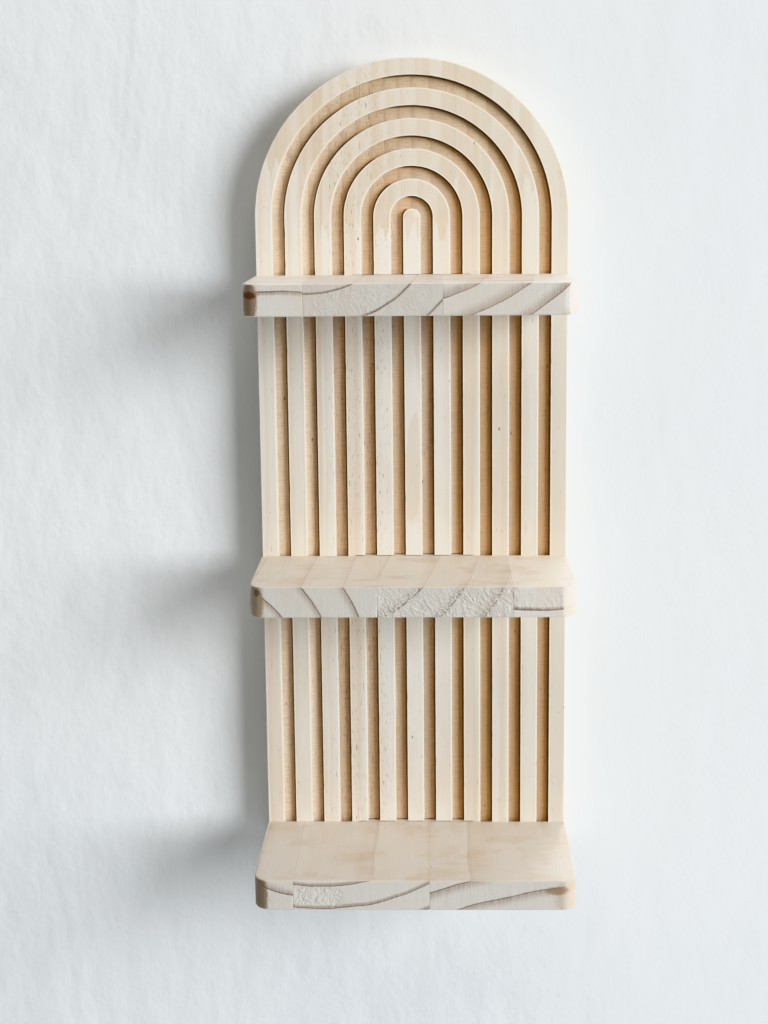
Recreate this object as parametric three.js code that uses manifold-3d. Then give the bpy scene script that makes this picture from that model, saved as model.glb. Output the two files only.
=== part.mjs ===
// Arched pine wall shelf: one grooved back panel, three shelves with tenons,
// the screws that hold them, and the two keyhole plates that it hangs on.
// Millimetres, +Z up, -Y is the front, +Y is the wall side, X runs left to right.
// The origin is on the floor plane, in the middle of the whole object's box.

import * as THREE from 'three';
import { mergeVertices } from 'three/addons/utils/BufferGeometryUtils.js';
import Module from 'manifold-3d';

const wasm = await Module();
wasm.setup();

// ---------------------------------------------------------------- driving dimensions

const PANEL_WIDTH = 200;
const PANEL_HEIGHT = 526;
const PANEL_THICKNESS = 20;

const GROOVE_COUNT = 5; // nested arches, each one channel wide
const GROOVE_WIDTH = 8; // the router bit's diameter
const GROOVE_DEPTH = 3.5;

const SHELF_WIDTH = 201; // half a millimetre proud of the panel at each end
const SHELF_THICKNESS = 19.5;
const SHELF_CORNER_RADIUS = 10;
const SHELVES = [
  { name: 'bottom', top: 19.5, depth: 80 },
  { name: 'middle', top: 204.5, depth: 70 },
  { name: 'top', top: 389.5, depth: 70 },
];

const TENON_WIDTH = 81;
const TENON_LENGTH = 11.5;
const TENON_CORNER_RADIUS = 4;
const MORTISE_DEPTH = 12;
const MORTISE_SIDE_GAP = 0.4;
const MORTISE_TOP_GAP = 0.6; // the dark line that shows above each tenon
const MORTISE_BOTTOM_GAP = 0.1;
const GLUE_GAP = 0.05; // between a shelf's shoulders and the lands

const SHELF_SCREW = { headRadius: 4, shankRadius: 2, length: 40, tipLength: 5, spacing: 50 };
const HANGER_SCREW = { headRadius: 3, shankRadius: 1.5, length: 11, tipLength: 3, spacing: 36 };
const SCREW_CLEARANCE = 0.15;
const HEAD_RIM = 0.3; // height of the straight rim round a countersunk head
const CROSS_LENGTH = 1.15; // the driver's cross, in head radii
const CROSS_WIDTH = 0.24;
const CROSS_DEPTH = 0.45;

const PLATE_WIDTH = 18;
const PLATE_HEIGHT = 48;
const PLATE_THICKNESS = 1.5;
const PLATE_X = 55; // distance of each plate's middle from the centre line
const PLATE_Z = 453;
const PLATE_SIDE_GAP = 0.3;
const PLATE_BACK_GAP = 0.1;
const KEYHOLE_RADIUS = 4.6;
const KEYHOLE_SLOT_WIDTH = 4.6;
const KEYHOLE_DROP = 4; // the round hole's centre below the plate's middle
const KEYHOLE_RISE = 11; // from the round hole's centre up to the slot's end centre
const POCKET_WIDTH = 11;
const POCKET_DEPTH = 8; // room for the wall screw's head, behind the plate

const OVERCUT = 1; // how far a cutter runs past the face it enters
const ARCH_FACETS = 48; // in each arc of the panel and its grooves
const ARC_FACETS = 12; // in each arc of every other outline
const TURNED_FACETS = 20; // round a screw or its hole

// Worked out from the dimensions above.
const ARCH_RADIUS = PANEL_WIDTH / 2;
const ARCH_CENTRE_Z = PANEL_HEIGHT - ARCH_RADIUS;
const LAND_WIDTH = (PANEL_WIDTH - 2 * GROOVE_COUNT * GROOVE_WIDTH) / (2 * GROOVE_COUNT + 1);
const LAND_Y = -PANEL_THICKNESS; // the panel's back face is at y = 0 inside the group
const DEEPEST_SHELF = Math.max(...SHELVES.map((shelf) => shelf.depth));
const FRONT_Y = LAND_Y - DEEPEST_SHELF - GLUE_GAP;
const CENTRE_Y = FRONT_Y / 2;

// ---------------------------------------------------------------- finishes

const pine = () => new THREE.MeshStandardMaterial({ color: '#e6d6bd', roughness: 0.62, metalness: 0 });
const steel = () => new THREE.MeshStandardMaterial({ color: '#c3c4c2', roughness: 0.35, metalness: 1 });

// ---------------------------------------------------------------- joining and cutting

function toSolid(geometry) {
  const bare = geometry.clone();
  bare.deleteAttribute('normal');
  bare.deleteAttribute('uv');
  const merged = mergeVertices(bare, 1e-4);
  const vertProperties = new Float32Array(merged.attributes.position.array);
  const triVerts = new Uint32Array(merged.index.array);
  return new wasm.Manifold(new wasm.Mesh({ numProp: 3, vertProperties, triVerts }));
}

function toGeometry(solid) {
  const mesh = solid.getMesh();
  const geometry = new THREE.BufferGeometry();
  geometry.setAttribute('position', new THREE.BufferAttribute(mesh.vertProperties, 3));
  geometry.setIndex(new THREE.BufferAttribute(mesh.triVerts, 1));
  geometry.computeVertexNormals();
  return geometry;
}

function cutAway(geometry, cutters) {
  let solid = toSolid(geometry);
  for (const cutter of cutters) {
    solid = solid.subtract(toSolid(cutter));
  }
  return toGeometry(solid);
}

function joined(first, second) {
  return toGeometry(toSolid(first).add(toSolid(second)));
}

// ---------------------------------------------------------------- shapes and extrusions

// three.js cuts an arc into twice as many facets as curveSegments says.
function extrude(shape, depth, arcFacets) {
  const settings = { depth, bevelEnabled: false, curveSegments: arcFacets / 2 };
  return new THREE.ExtrudeGeometry(shape, settings);
}

// A shape drawn in X and Z, as seen from the front, made solid from backY towards the front.
function extrudeToFront(shape, backY, depth, arcFacets = ARC_FACETS) {
  return extrude(shape, depth, arcFacets).rotateX(Math.PI / 2).translate(0, backY, 0);
}

// The board's outline: straight sides and a half-circle on top.
function boardShape() {
  const shape = new THREE.Shape();
  shape.moveTo(-ARCH_RADIUS, 0);
  shape.lineTo(ARCH_RADIUS, 0);
  shape.lineTo(ARCH_RADIUS, ARCH_CENTRE_Z);
  shape.absarc(0, ARCH_CENTRE_Z, ARCH_RADIUS, 0, Math.PI, false);
  shape.lineTo(-ARCH_RADIUS, 0);
  return shape;
}

// One groove: an upside-down U that runs out through the board's bottom edge.
function grooveShape(outerRadius) {
  const innerRadius = outerRadius - GROOVE_WIDTH;
  const lowZ = -OVERCUT;
  const shape = new THREE.Shape();
  shape.moveTo(innerRadius, lowZ);
  shape.lineTo(outerRadius, lowZ);
  shape.lineTo(outerRadius, ARCH_CENTRE_Z);
  shape.absarc(0, ARCH_CENTRE_Z, outerRadius, 0, Math.PI, false);
  shape.lineTo(-outerRadius, lowZ);
  shape.lineTo(-innerRadius, lowZ);
  shape.lineTo(-innerRadius, ARCH_CENTRE_Z);
  shape.absarc(0, ARCH_CENTRE_Z, innerRadius, Math.PI, 0, true);
  shape.lineTo(innerRadius, lowZ);
  return shape;
}

function roundedRectangle(width, lowZ, highZ, radius) {
  const half = width / 2;
  const shape = new THREE.Shape();
  shape.moveTo(-half + radius, lowZ);
  shape.lineTo(half - radius, lowZ);
  shape.absarc(half - radius, lowZ + radius, radius, -Math.PI / 2, 0, false);
  shape.lineTo(half, highZ - radius);
  shape.absarc(half - radius, highZ - radius, radius, 0, Math.PI / 2, false);
  shape.lineTo(-half + radius, highZ);
  shape.absarc(-half + radius, highZ - radius, radius, Math.PI / 2, Math.PI, false);
  shape.lineTo(-half, lowZ + radius);
  shape.absarc(-half + radius, lowZ + radius, radius, Math.PI, 1.5 * Math.PI, false);
  return shape;
}

// A strip with half-round ends, standing upright.
function stadium(width, lowZ, highZ) {
  const radius = width / 2;
  const shape = new THREE.Shape();
  shape.absarc(0, lowZ + radius, radius, Math.PI, 2 * Math.PI, false);
  shape.lineTo(radius, highZ - radius);
  shape.absarc(0, highZ - radius, radius, 0, Math.PI, false);
  shape.lineTo(-radius, lowZ + radius);
  return shape;
}

// A solid of revolution about the Y axis. The profile lists [radius, y] from the axis at the
// wall side to the axis at the front end.
function turned(profile) {
  const points = profile.map(([radius, y]) => new THREE.Vector2(radius, y));
  return new THREE.LatheGeometry(points.reverse(), TURNED_FACETS);
}

// ---------------------------------------------------------------- screws and their holes

// A countersunk wood screw with its flat head at y = 0, pointing to the front.
function screwGeometry({ headRadius, shankRadius, length, tipLength }) {
  const coneEnd = -HEAD_RIM - (headRadius - shankRadius);
  const body = turned([
    [0, 0],
    [headRadius, 0],
    [headRadius, -HEAD_RIM],
    [shankRadius, coneEnd],
    [shankRadius, -length + tipLength],
    [0, -length],
  ]);
  const bladeLength = headRadius * CROSS_LENGTH;
  const bladeWidth = headRadius * CROSS_WIDTH;
  const bladeHeight = headRadius * CROSS_DEPTH * 2; // half of it lies outside the head
  const along = new THREE.BoxGeometry(bladeLength, bladeHeight, bladeWidth);
  const across = new THREE.BoxGeometry(bladeWidth, bladeHeight, bladeLength);
  return cutAway(body, [along, across]);
}

// The hole for that screw: a countersink, then a straight hole down to a drill's cone. It cuts
// every piece that the screw passes, each at the same place.
function screwHole({ headRadius, shankRadius, length }) {
  const wide = headRadius + SCREW_CLEARANCE;
  const narrow = shankRadius + SCREW_CLEARANCE;
  const coneStart = -HEAD_RIM - SCREW_CLEARANCE;
  const bottom = -length - SCREW_CLEARANCE;
  return turned([
    [0, OVERCUT],
    [wide, OVERCUT],
    [wide, coneStart],
    [narrow, coneStart - (wide - narrow)],
    [narrow, bottom],
    [0, bottom - narrow],
  ]);
}

// ---------------------------------------------------------------- places that pieces share

const sides = [
  { name: 'left', sign: -1 },
  { name: 'right', sign: 1 },
];

const ends = [
  { name: 'lower', sign: -1 },
  { name: 'upper', sign: 1 },
];

function shelfScrewPlace(shelf, side) {
  return [side.sign * SHELF_SCREW.spacing / 2, 0, shelf.top - SHELF_THICKNESS / 2];
}

function hangerScrewPlace(side, end) {
  return [side.sign * PLATE_X, 0, PLATE_Z + end.sign * HANGER_SCREW.spacing / 2];
}

// ---------------------------------------------------------------- back panel

function grooveCutters() {
  const cutters = [];
  for (let i = 0; i < GROOVE_COUNT; i += 1) {
    const outerRadius = ARCH_RADIUS - LAND_WIDTH - i * (LAND_WIDTH + GROOVE_WIDTH);
    const depth = GROOVE_DEPTH + OVERCUT;
    cutters.push(extrudeToFront(grooveShape(outerRadius), LAND_Y + GROOVE_DEPTH, depth, ARCH_FACETS));
  }
  return cutters;
}

function mortiseCutter(shelf) {
  const width = TENON_WIDTH + 2 * MORTISE_SIDE_GAP;
  const lowZ = shelf.top - SHELF_THICKNESS - MORTISE_BOTTOM_GAP;
  const highZ = shelf.top + MORTISE_TOP_GAP;
  const shape = roundedRectangle(width, lowZ, highZ, TENON_CORNER_RADIUS);
  const depth = MORTISE_DEPTH + OVERCUT;
  return extrudeToFront(shape, LAND_Y + MORTISE_DEPTH, depth);
}

function plateRecessCutters(side) {
  const recess = stadium(
    PLATE_WIDTH + 2 * PLATE_SIDE_GAP,
    PLATE_Z - PLATE_HEIGHT / 2 - PLATE_SIDE_GAP,
    PLATE_Z + PLATE_HEIGHT / 2 + PLATE_SIDE_GAP,
  );
  const holeZ = PLATE_Z - KEYHOLE_DROP;
  const pocket = stadium(
    POCKET_WIDTH,
    holeZ - POCKET_WIDTH / 2,
    holeZ + KEYHOLE_RISE + POCKET_WIDTH / 2,
  );
  const recessDepth = PLATE_THICKNESS + PLATE_BACK_GAP + OVERCUT;
  const cutters = [
    extrudeToFront(recess, OVERCUT, recessDepth),
    extrudeToFront(pocket, OVERCUT, POCKET_DEPTH + OVERCUT),
  ];
  return cutters.map((cutter) => cutter.translate(side.sign * PLATE_X, 0, 0));
}

function panelScrewHoles() {
  const holes = [];
  for (const side of sides) {
    for (const shelf of SHELVES) {
      holes.push(screwHole(SHELF_SCREW).translate(...shelfScrewPlace(shelf, side)));
    }
    for (const end of ends) {
      holes.push(screwHole(HANGER_SCREW).translate(...hangerScrewPlace(side, end)));
    }
  }
  return holes;
}

function backPanelGeometry() {
  const board = extrudeToFront(boardShape(), 0, PANEL_THICKNESS, ARCH_FACETS);
  return cutAway(board, [
    ...grooveCutters(),
    ...SHELVES.map(mortiseCutter),
    ...sides.flatMap(plateRecessCutters),
    ...panelScrewHoles(),
  ]);
}

// ---------------------------------------------------------------- shelves

function shelfBoard(shelf) {
  const half = SHELF_WIDTH / 2;
  const radius = SHELF_CORNER_RADIUS;
  const backY = LAND_Y - GLUE_GAP;
  const frontY = backY - shelf.depth;
  const shape = new THREE.Shape();
  shape.moveTo(half, backY);
  shape.lineTo(-half, backY);
  shape.lineTo(-half, frontY + radius);
  shape.absarc(-half + radius, frontY + radius, radius, Math.PI, 1.5 * Math.PI, false);
  shape.lineTo(half - radius, frontY);
  shape.absarc(half - radius, frontY + radius, radius, 1.5 * Math.PI, 2 * Math.PI, false);
  return extrude(shape, SHELF_THICKNESS, ARC_FACETS).translate(0, 0, shelf.top - SHELF_THICKNESS);
}

function tenon(shelf) {
  const lowZ = shelf.top - SHELF_THICKNESS;
  const shape = roundedRectangle(TENON_WIDTH, lowZ, shelf.top, TENON_CORNER_RADIUS);
  const depth = TENON_LENGTH + OVERCUT; // runs a little way into the board to join it
  return extrudeToFront(shape, LAND_Y + TENON_LENGTH, depth);
}

function shelfGeometry(shelf) {
  const holes = sides.map((side) => screwHole(SHELF_SCREW).translate(...shelfScrewPlace(shelf, side)));
  return cutAway(joined(shelfBoard(shelf), tenon(shelf)), holes);
}

// ---------------------------------------------------------------- keyhole plates

// The round hole lets the wall screw's head in; the slot above it then drops onto the shank.
function keyholePath() {
  const holeZ = PLATE_Z - KEYHOLE_DROP;
  const half = KEYHOLE_SLOT_WIDTH / 2;
  const slotAngle = Math.asin(half / KEYHOLE_RADIUS);
  const path = new THREE.Path();
  path.absarc(0, holeZ, KEYHOLE_RADIUS, Math.PI / 2 + slotAngle, 2.5 * Math.PI - slotAngle, false);
  path.lineTo(half, holeZ + KEYHOLE_RISE);
  path.absarc(0, holeZ + KEYHOLE_RISE, half, 0, Math.PI, false);
  return path;
}

function hangerPlateGeometry(side) {
  const shape = stadium(PLATE_WIDTH, PLATE_Z - PLATE_HEIGHT / 2, PLATE_Z + PLATE_HEIGHT / 2);
  shape.holes.push(keyholePath());
  const plate = extrudeToFront(shape, 0, PLATE_THICKNESS);
  plate.translate(side.sign * PLATE_X, 0, 0);
  return cutAway(plate, ends.map((end) => (
    screwHole(HANGER_SCREW).translate(...hangerScrewPlace(side, end))
  )));
}

// ---------------------------------------------------------------- assembly

const shelfUnit = new THREE.Group();
shelfUnit.position.y = -CENTRE_Y;

function addPiece(name, geometry, material, place = [0, 0, 0]) {
  const mesh = new THREE.Mesh(geometry, material);
  mesh.name = name;
  mesh.position.set(...place);
  shelfUnit.add(mesh);
}

addPiece('back_panel', backPanelGeometry(), pine());

for (const shelf of SHELVES) {
  addPiece(`${shelf.name}_shelf`, shelfGeometry(shelf), pine());
  for (const side of sides) {
    const name = `${shelf.name}_shelf_screw_${side.name}`;
    addPiece(name, screwGeometry(SHELF_SCREW), steel(), shelfScrewPlace(shelf, side));
  }
}

for (const side of sides) {
  addPiece(`hanger_plate_${side.name}`, hangerPlateGeometry(side), steel());
  for (const end of ends) {
    const name = `hanger_screw_${side.name}_${end.name}`;
    addPiece(name, screwGeometry(HANGER_SCREW), steel(), hangerScrewPlace(side, end));
  }
}

const object = new THREE.Group();
object.add(shelfUnit);

export default object;
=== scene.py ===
import math

import bmesh
import bpy
import numpy as np
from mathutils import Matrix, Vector


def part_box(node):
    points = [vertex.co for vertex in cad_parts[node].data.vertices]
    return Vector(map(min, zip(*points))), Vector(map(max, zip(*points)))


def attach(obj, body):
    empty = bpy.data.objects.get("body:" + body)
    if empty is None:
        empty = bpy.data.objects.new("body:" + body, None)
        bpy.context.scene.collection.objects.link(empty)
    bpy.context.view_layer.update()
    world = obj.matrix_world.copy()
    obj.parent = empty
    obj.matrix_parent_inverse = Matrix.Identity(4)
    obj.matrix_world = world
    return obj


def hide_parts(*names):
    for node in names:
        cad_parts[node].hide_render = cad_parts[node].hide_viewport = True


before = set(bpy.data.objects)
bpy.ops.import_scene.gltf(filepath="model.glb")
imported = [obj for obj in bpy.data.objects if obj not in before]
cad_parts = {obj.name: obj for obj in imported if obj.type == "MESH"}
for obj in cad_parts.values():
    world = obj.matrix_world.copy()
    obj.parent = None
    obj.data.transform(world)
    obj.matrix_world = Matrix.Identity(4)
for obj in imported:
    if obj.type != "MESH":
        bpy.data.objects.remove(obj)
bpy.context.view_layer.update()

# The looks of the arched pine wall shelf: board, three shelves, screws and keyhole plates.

MM = 0.001

# ---------------------------------------------------------------- sizes shared by the pieces

BOARD_LOW, BOARD_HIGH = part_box("back_panel")
BACK_Y = BOARD_HIGH.y
LAND_Y = BOARD_LOW.y
ARCH_RADIUS = BOARD_HIGH.x
ARCH_Z = BOARD_HIGH.z - ARCH_RADIUS
SHELF_NAMES = ("bottom_shelf", "middle_shelf", "top_shelf")
SHELF_BOXES = {name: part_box(name) for name in SHELF_NAMES}

GROOVES = 5
GROOVE_WIDTH = 8 * MM
GROOVE_DEPTH = 3.5 * MM
LAND_WIDTH = 2 * (ARCH_RADIUS - GROOVES * GROOVE_WIDTH) / (2 * GROOVES + 1)
PITCH = LAND_WIDTH + GROOVE_WIDTH
GLUE_GAP = 0.05 * MM
SHELF_CORNER = 10 * MM
TENON_HALF_WIDTH = 40.5 * MM
TENON_LENGTH = 11.5 * MM
TENON_CORNER = 4 * MM
TENON_SHRINK = 0.02 * MM
TENON_ROOT = 1 * MM
TENON_BEVEL = 0.8 * MM
MORTISE_DEPTH = 12 * MM
MORTISE_SIDE_GAP = 0.4 * MM
MORTISE_TOP_GAPS = {"bottom_shelf": 0.6 * MM, "middle_shelf": 0.5 * MM, "top_shelf": 0.25 * MM}
MORTISE_BOTTOM_GAP = 0.1 * MM
CLEARANCE = 0.15 * MM
OVERCUT = 1 * MM  # how far cutting tools reach out past the face they enter


# ---------------------------------------------------------------- mesh helpers

def new_object(name, mesh):
    piece = bpy.data.objects.new(name, mesh)
    bpy.context.scene.collection.objects.link(piece)
    return piece


def object_from_faces(name, points, faces):
    mesh = bpy.data.meshes.new(name)
    mesh.from_pydata([tuple(p) for p in points], [], [tuple(f) for f in faces])
    mesh.validate()
    return new_object(name, mesh)


def object_from_bmesh(name, work):
    mesh = bpy.data.meshes.new(name)
    work.to_mesh(mesh)
    work.free()
    return new_object(name, mesh)


def apply_modifiers(piece):
    graph = bpy.context.evaluated_depsgraph_get()
    mesh = bpy.data.meshes.new_from_object(piece.evaluated_get(graph))
    piece.modifiers.clear()
    piece.data = mesh


def combine(piece, tools, operation):
    """Joins the tools to the piece, or cuts them out of it, and deletes them."""
    for tool in tools:
        modifier = piece.modifiers.new("combine", "BOOLEAN")
        modifier.operation = operation
        modifier.solver = "MANIFOLD"
        modifier.object = tool
    apply_modifiers(piece)
    for tool in tools:
        bpy.data.objects.remove(tool)


def smooth_by_angle(piece, degrees=38):
    mesh = piece.data
    mesh.polygons.foreach_set("use_smooth", [True] * len(mesh.polygons))
    mesh.set_sharp_from_angle(angle=math.radians(degrees))
    modifier = piece.modifiers.new("normals", "WEIGHTED_NORMAL")
    modifier.keep_sharp = True
    modifier.weight = 100
    apply_modifiers(piece)


def dress(piece, material, node):
    """Gives a finished piece its one material and its place among the CAD nodes."""
    piece.data.materials.clear()
    piece.data.materials.append(material)
    piece.data.polygons.foreach_set("material_index", [0] * len(piece.data.polygons))
    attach(piece, "root")
    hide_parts(node)


def fix_normals(piece):
    work = bmesh.new()
    work.from_mesh(piece.data)
    bmesh.ops.recalc_face_normals(work, faces=work.faces)
    work.to_mesh(piece.data)
    work.free()


def rounded_line(corners, steps=3):
    """A polyline through (point, radius) corners, each eased by a short curve of that radius."""
    line = []
    last = len(corners) - 1
    for i, (corner, radius) in enumerate(corners):
        corner = np.array(corner, float)
        if radius == 0 or i in (0, last):
            line.append(corner)
            continue
        before = np.array(corners[i - 1][0], float) - corner
        after = np.array(corners[i + 1][0], float) - corner
        start = corner + before / np.linalg.norm(before) * radius
        end = corner + after / np.linalg.norm(after) * radius
        for k in range(steps + 1):
            t = k / steps
            line.append((1 - t) ** 2 * start + 2 * t * (1 - t) * corner + t * t * end)
    return line


def rounded_rectangle(half_width, low, high, radius, steps=10):
    """Outline in X and Z, centred on X."""
    outline = []
    centres = ((1, high, -1), (-1, high, -1), (-1, low, 1), (1, low, 1))
    for quarter, (side, edge, inward) in enumerate(centres):
        for k in range(steps + 1):
            angle = math.pi / 2 * (quarter + k / steps)
            x = side * (half_width - radius) + radius * math.cos(angle)
            outline.append((x, edge + inward * radius + radius * math.sin(angle)))
    return outline


def prism(name, outline, near_y, far_y, bevel=0.0):
    """A solid with an outline in X and Z, from near_y to far_y; bevel eases its far rim."""
    work = bmesh.new()
    loops = []
    for y in (near_y, far_y):
        loops.append([work.verts.new((x, y, z)) for x, z in outline])
    count = len(outline)
    for i in range(count):
        j = (i + 1) % count
        work.faces.new((loops[0][i], loops[0][j], loops[1][j], loops[1][i]))
    work.faces.new(loops[0])
    far = work.faces.new(loops[1][::-1])
    bmesh.ops.recalc_face_normals(work, faces=work.faces)
    if bevel:
        bmesh.ops.bevel(work, geom=list(far.edges), offset=bevel, segments=3, affect="EDGES",
                        profile=0.5)
    return object_from_bmesh(name, work)


def turned(name, profile, place, facets=40):
    """A solid turned about the line through place along Y; profile holds (radius, depth) pairs.

    Depth is measured from the place into the object, towards -Y."""
    work = bmesh.new()
    rings = []
    for radius, depth in profile:
        if radius == 0:
            rings.append([work.verts.new((place[0], place[1] - depth, place[2]))])
            continue
        ring = []
        for k in range(facets):
            angle = 2 * math.pi * k / facets
            x = place[0] + radius * math.cos(angle)
            z = place[2] + radius * math.sin(angle)
            ring.append(work.verts.new((x, place[1] - depth, z)))
        rings.append(ring)
    for first, second in zip(rings, rings[1:]):
        for k in range(facets):
            n = (k + 1) % facets
            corners = [first[k % len(first)], first[n % len(first)],
                       second[n % len(second)], second[k % len(second)]]
            unique = list(dict.fromkeys(corners))
            if len(unique) > 2:
                work.faces.new(unique)
    bmesh.ops.recalc_face_normals(work, faces=work.faces)
    return object_from_bmesh(name, work)


class Noise:
    """Smooth value noise in two dimensions, from -1 to 1, the same in each run."""

    SIZE = 256

    def __init__(self, seed):
        self.grid = np.random.default_rng(seed).uniform(-1, 1, (self.SIZE, self.SIZE))

    def __call__(self, u, v):
        u, v = np.broadcast_arrays(np.asarray(u, float), np.asarray(v, float))
        iu, iv = np.floor(u).astype(int), np.floor(v).astype(int)
        fu, fv = u - iu, v - iv
        fu, fv = fu * fu * (3 - 2 * fu), fv * fv * (3 - 2 * fv)
        size = self.SIZE
        g = self.grid
        a = g[iu % size, iv % size]
        b = g[(iu + 1) % size, iv % size]
        c = g[iu % size, (iv + 1) % size]
        d = g[(iu + 1) % size, (iv + 1) % size]
        return (a * (1 - fu) + b * fu) * (1 - fv) + (c * (1 - fu) + d * fu) * fv


def smoothstep(low, high, value):
    t = np.clip((value - low) / (high - low), 0, 1)
    return t * t * (3 - 2 * t)


# ---------------------------------------------------------------- screws: places and holes

SHELF_SCREW = {"head": 4 * MM, "shank": 2 * MM, "length": 40 * MM, "tip": 5 * MM}
HANGER_SCREW = {"head": 3 * MM, "shank": 1.5 * MM, "length": 11 * MM, "tip": 3 * MM}
HEAD_RIM = 0.3 * MM
RECESS_TURN = 0.25  # radians that the cross recess is turned by


def screw_hole(kind, place):
    wide = kind["head"] + CLEARANCE
    narrow = kind["shank"] + CLEARANCE
    cone = HEAD_RIM + CLEARANCE
    bottom = kind["length"] + CLEARANCE
    profile = [(0, -OVERCUT), (wide, -OVERCUT), (wide, cone), (narrow, cone + wide - narrow),
               (narrow, bottom), (0, bottom + narrow)]
    return turned("hole", profile, place)


def screw_nodes():
    """(CAD node, kind) for each screw."""
    found = []
    for name in sorted(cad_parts):
        if "_shelf_screw_" in name:
            found.append((name, SHELF_SCREW))
        elif name.startswith("hanger_screw_"):
            found.append((name, HANGER_SCREW))
    return found


def screw_place(node):
    low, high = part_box(node)
    return ((low.x + high.x) / 2, high.y, (low.z + high.z) / 2)


# ---------------------------------------------------------------- back panel

FRONT_EASE = 0.20 * MM
RIM_EASE = 0.7 * MM
FLOOR_FILLET = 0.35 * MM
STRAIGHT_STATIONS = 409
ARCH_STATIONS = 181
WEAR_SEED, CHIP_SEED = 11, 5
CHIPS_PER_EDGE = 16
CHIP_SIZE = (0.10, 0.34)  # mm
CHIP_REACH = (0.7, 2.4)  # stations
RIPPLE = 0.035 * MM


def panel_profile():
    """Corners from the middle of the back, round the outer edge, to the middle of the front.

    Each is ((distance from the centre line, y), easing radius)."""
    floor_y = LAND_Y + GROOVE_DEPTH
    outer = ARCH_RADIUS
    corners = [((0, BACK_Y), 0), ((outer * 0.33, BACK_Y), 0), ((outer * 0.66, BACK_Y), 0),
               ((outer, BACK_Y), RIM_EASE), ((outer, LAND_Y), RIM_EASE)]
    for i in range(GROOVES):
        high = ARCH_RADIUS - LAND_WIDTH - i * PITCH
        low = high - GROOVE_WIDTH
        corners.append((((high + LAND_WIDTH / 2), LAND_Y), 0))
        corners.append(((high, LAND_Y), FRONT_EASE))
        corners.append(((high, floor_y), FLOOR_FILLET))
        corners.append((((high + low) / 2, floor_y), 0))
        corners.append(((low, floor_y), FLOOR_FILLET))
        corners.append(((low, LAND_Y), FRONT_EASE))
    corners.append(((0, LAND_Y), 0))
    return corners


def sweep_stations():
    """(base x, base z, outward x, outward z) up the left side, over the arch, down the right."""
    straight = np.linspace(0, ARCH_Z, STRAIGHT_STATIONS)
    stations = [(0, z, -1, 0) for z in straight]
    for angle in np.linspace(math.pi, 0, ARCH_STATIONS)[1:-1]:
        stations.append((0, ARCH_Z, math.cos(angle), math.sin(angle)))
    stations += [(0, z, 1, 0) for z in straight[::-1]]
    return np.array(stations)


def panel_mesh():
    corners = panel_profile()
    profile = np.array(rounded_line(corners))
    stations = sweep_stations()
    count, width = len(stations), len(profile)
    along = np.arange(count)
    wear = Noise(WEAR_SEED)
    rng = np.random.default_rng(CHIP_SEED)
    radius = np.repeat(profile[None, :, 0], count, axis=0)
    depth = np.repeat(profile[None, :, 1], count, axis=0)
    # small chips and ripples along the lands' edges; each groove has an outer edge, then an inner
    index = 0
    into_land = -1
    for corner, ease in corners:
        if ease != FRONT_EASE:
            index += 1 if ease == 0 else 4
            continue
        into_land = -into_land
        ripple = RIPPLE * wear(along / 5.0, corner[0] * 900) + 0.02 * MM
        for _ in range(CHIPS_PER_EDGE):
            centre = rng.uniform(0, count)
            size = rng.uniform(*CHIP_SIZE) * MM
            reach = rng.uniform(*CHIP_REACH)
            ripple = ripple + size * np.exp(-((along - centre) / reach) ** 2)
        for k, weight in enumerate((0.6, 1.0, 1.0, 0.4)):
            radius[:, index + k] += into_land * ripple * weight
            depth[:, index + k] += ripple * weight * (0.5 if k else 0.1)
        index += 4
    x = stations[:, 0][:, None] + stations[:, 2][:, None] * radius
    z = stations[:, 1][:, None] + stations[:, 3][:, None] * radius
    points = np.stack([x, depth, z], axis=-1).reshape(-1, 3)
    faces = []
    for i in range(count - 1):
        a, b = i * width, (i + 1) * width
        for j in range(width - 1):
            faces.append((a + j, b + j, b + j + 1, a + j + 1))
    mesh = bpy.data.meshes.new("arched_board")
    mesh.from_pydata(points.tolist(), [], faces)
    work = bmesh.new()
    work.from_mesh(mesh)
    bmesh.ops.remove_doubles(work, verts=work.verts, dist=1e-6)
    bmesh.ops.dissolve_degenerate(work, edges=work.edges, dist=1e-7)
    open_edges = [e for e in work.edges if e.is_boundary]
    bmesh.ops.contextual_create(work, geom=open_edges)
    bmesh.ops.recalc_face_normals(work, faces=work.faces)
    work.to_mesh(mesh)
    work.free()
    return mesh


PLATE_RADIUS = 9 * MM
POCKET_RADIUS = 5.5 * MM
POCKET_DEPTH = 8 * MM
PLATE_BEVEL = 0.25 * MM
KEYHOLE_RADIUS = 4.6 * MM
KEYHOLE_SLOT_HALF = 2.3 * MM
KEYHOLE_DROP = 4 * MM
KEYHOLE_RISE = 11 * MM
RECESS_GAP = 0.3 * MM
RECESS_FLOOR_GAP = 0.1 * MM


def stadium(x, low, high, radius, steps=20):
    outline = []
    for centre, start in ((high - radius, 0), (low + radius, math.pi)):
        for k in range(steps + 1):
            angle = start + math.pi * k / steps
            outline.append((x + radius * math.cos(angle), centre + radius * math.sin(angle)))
    return outline


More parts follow.
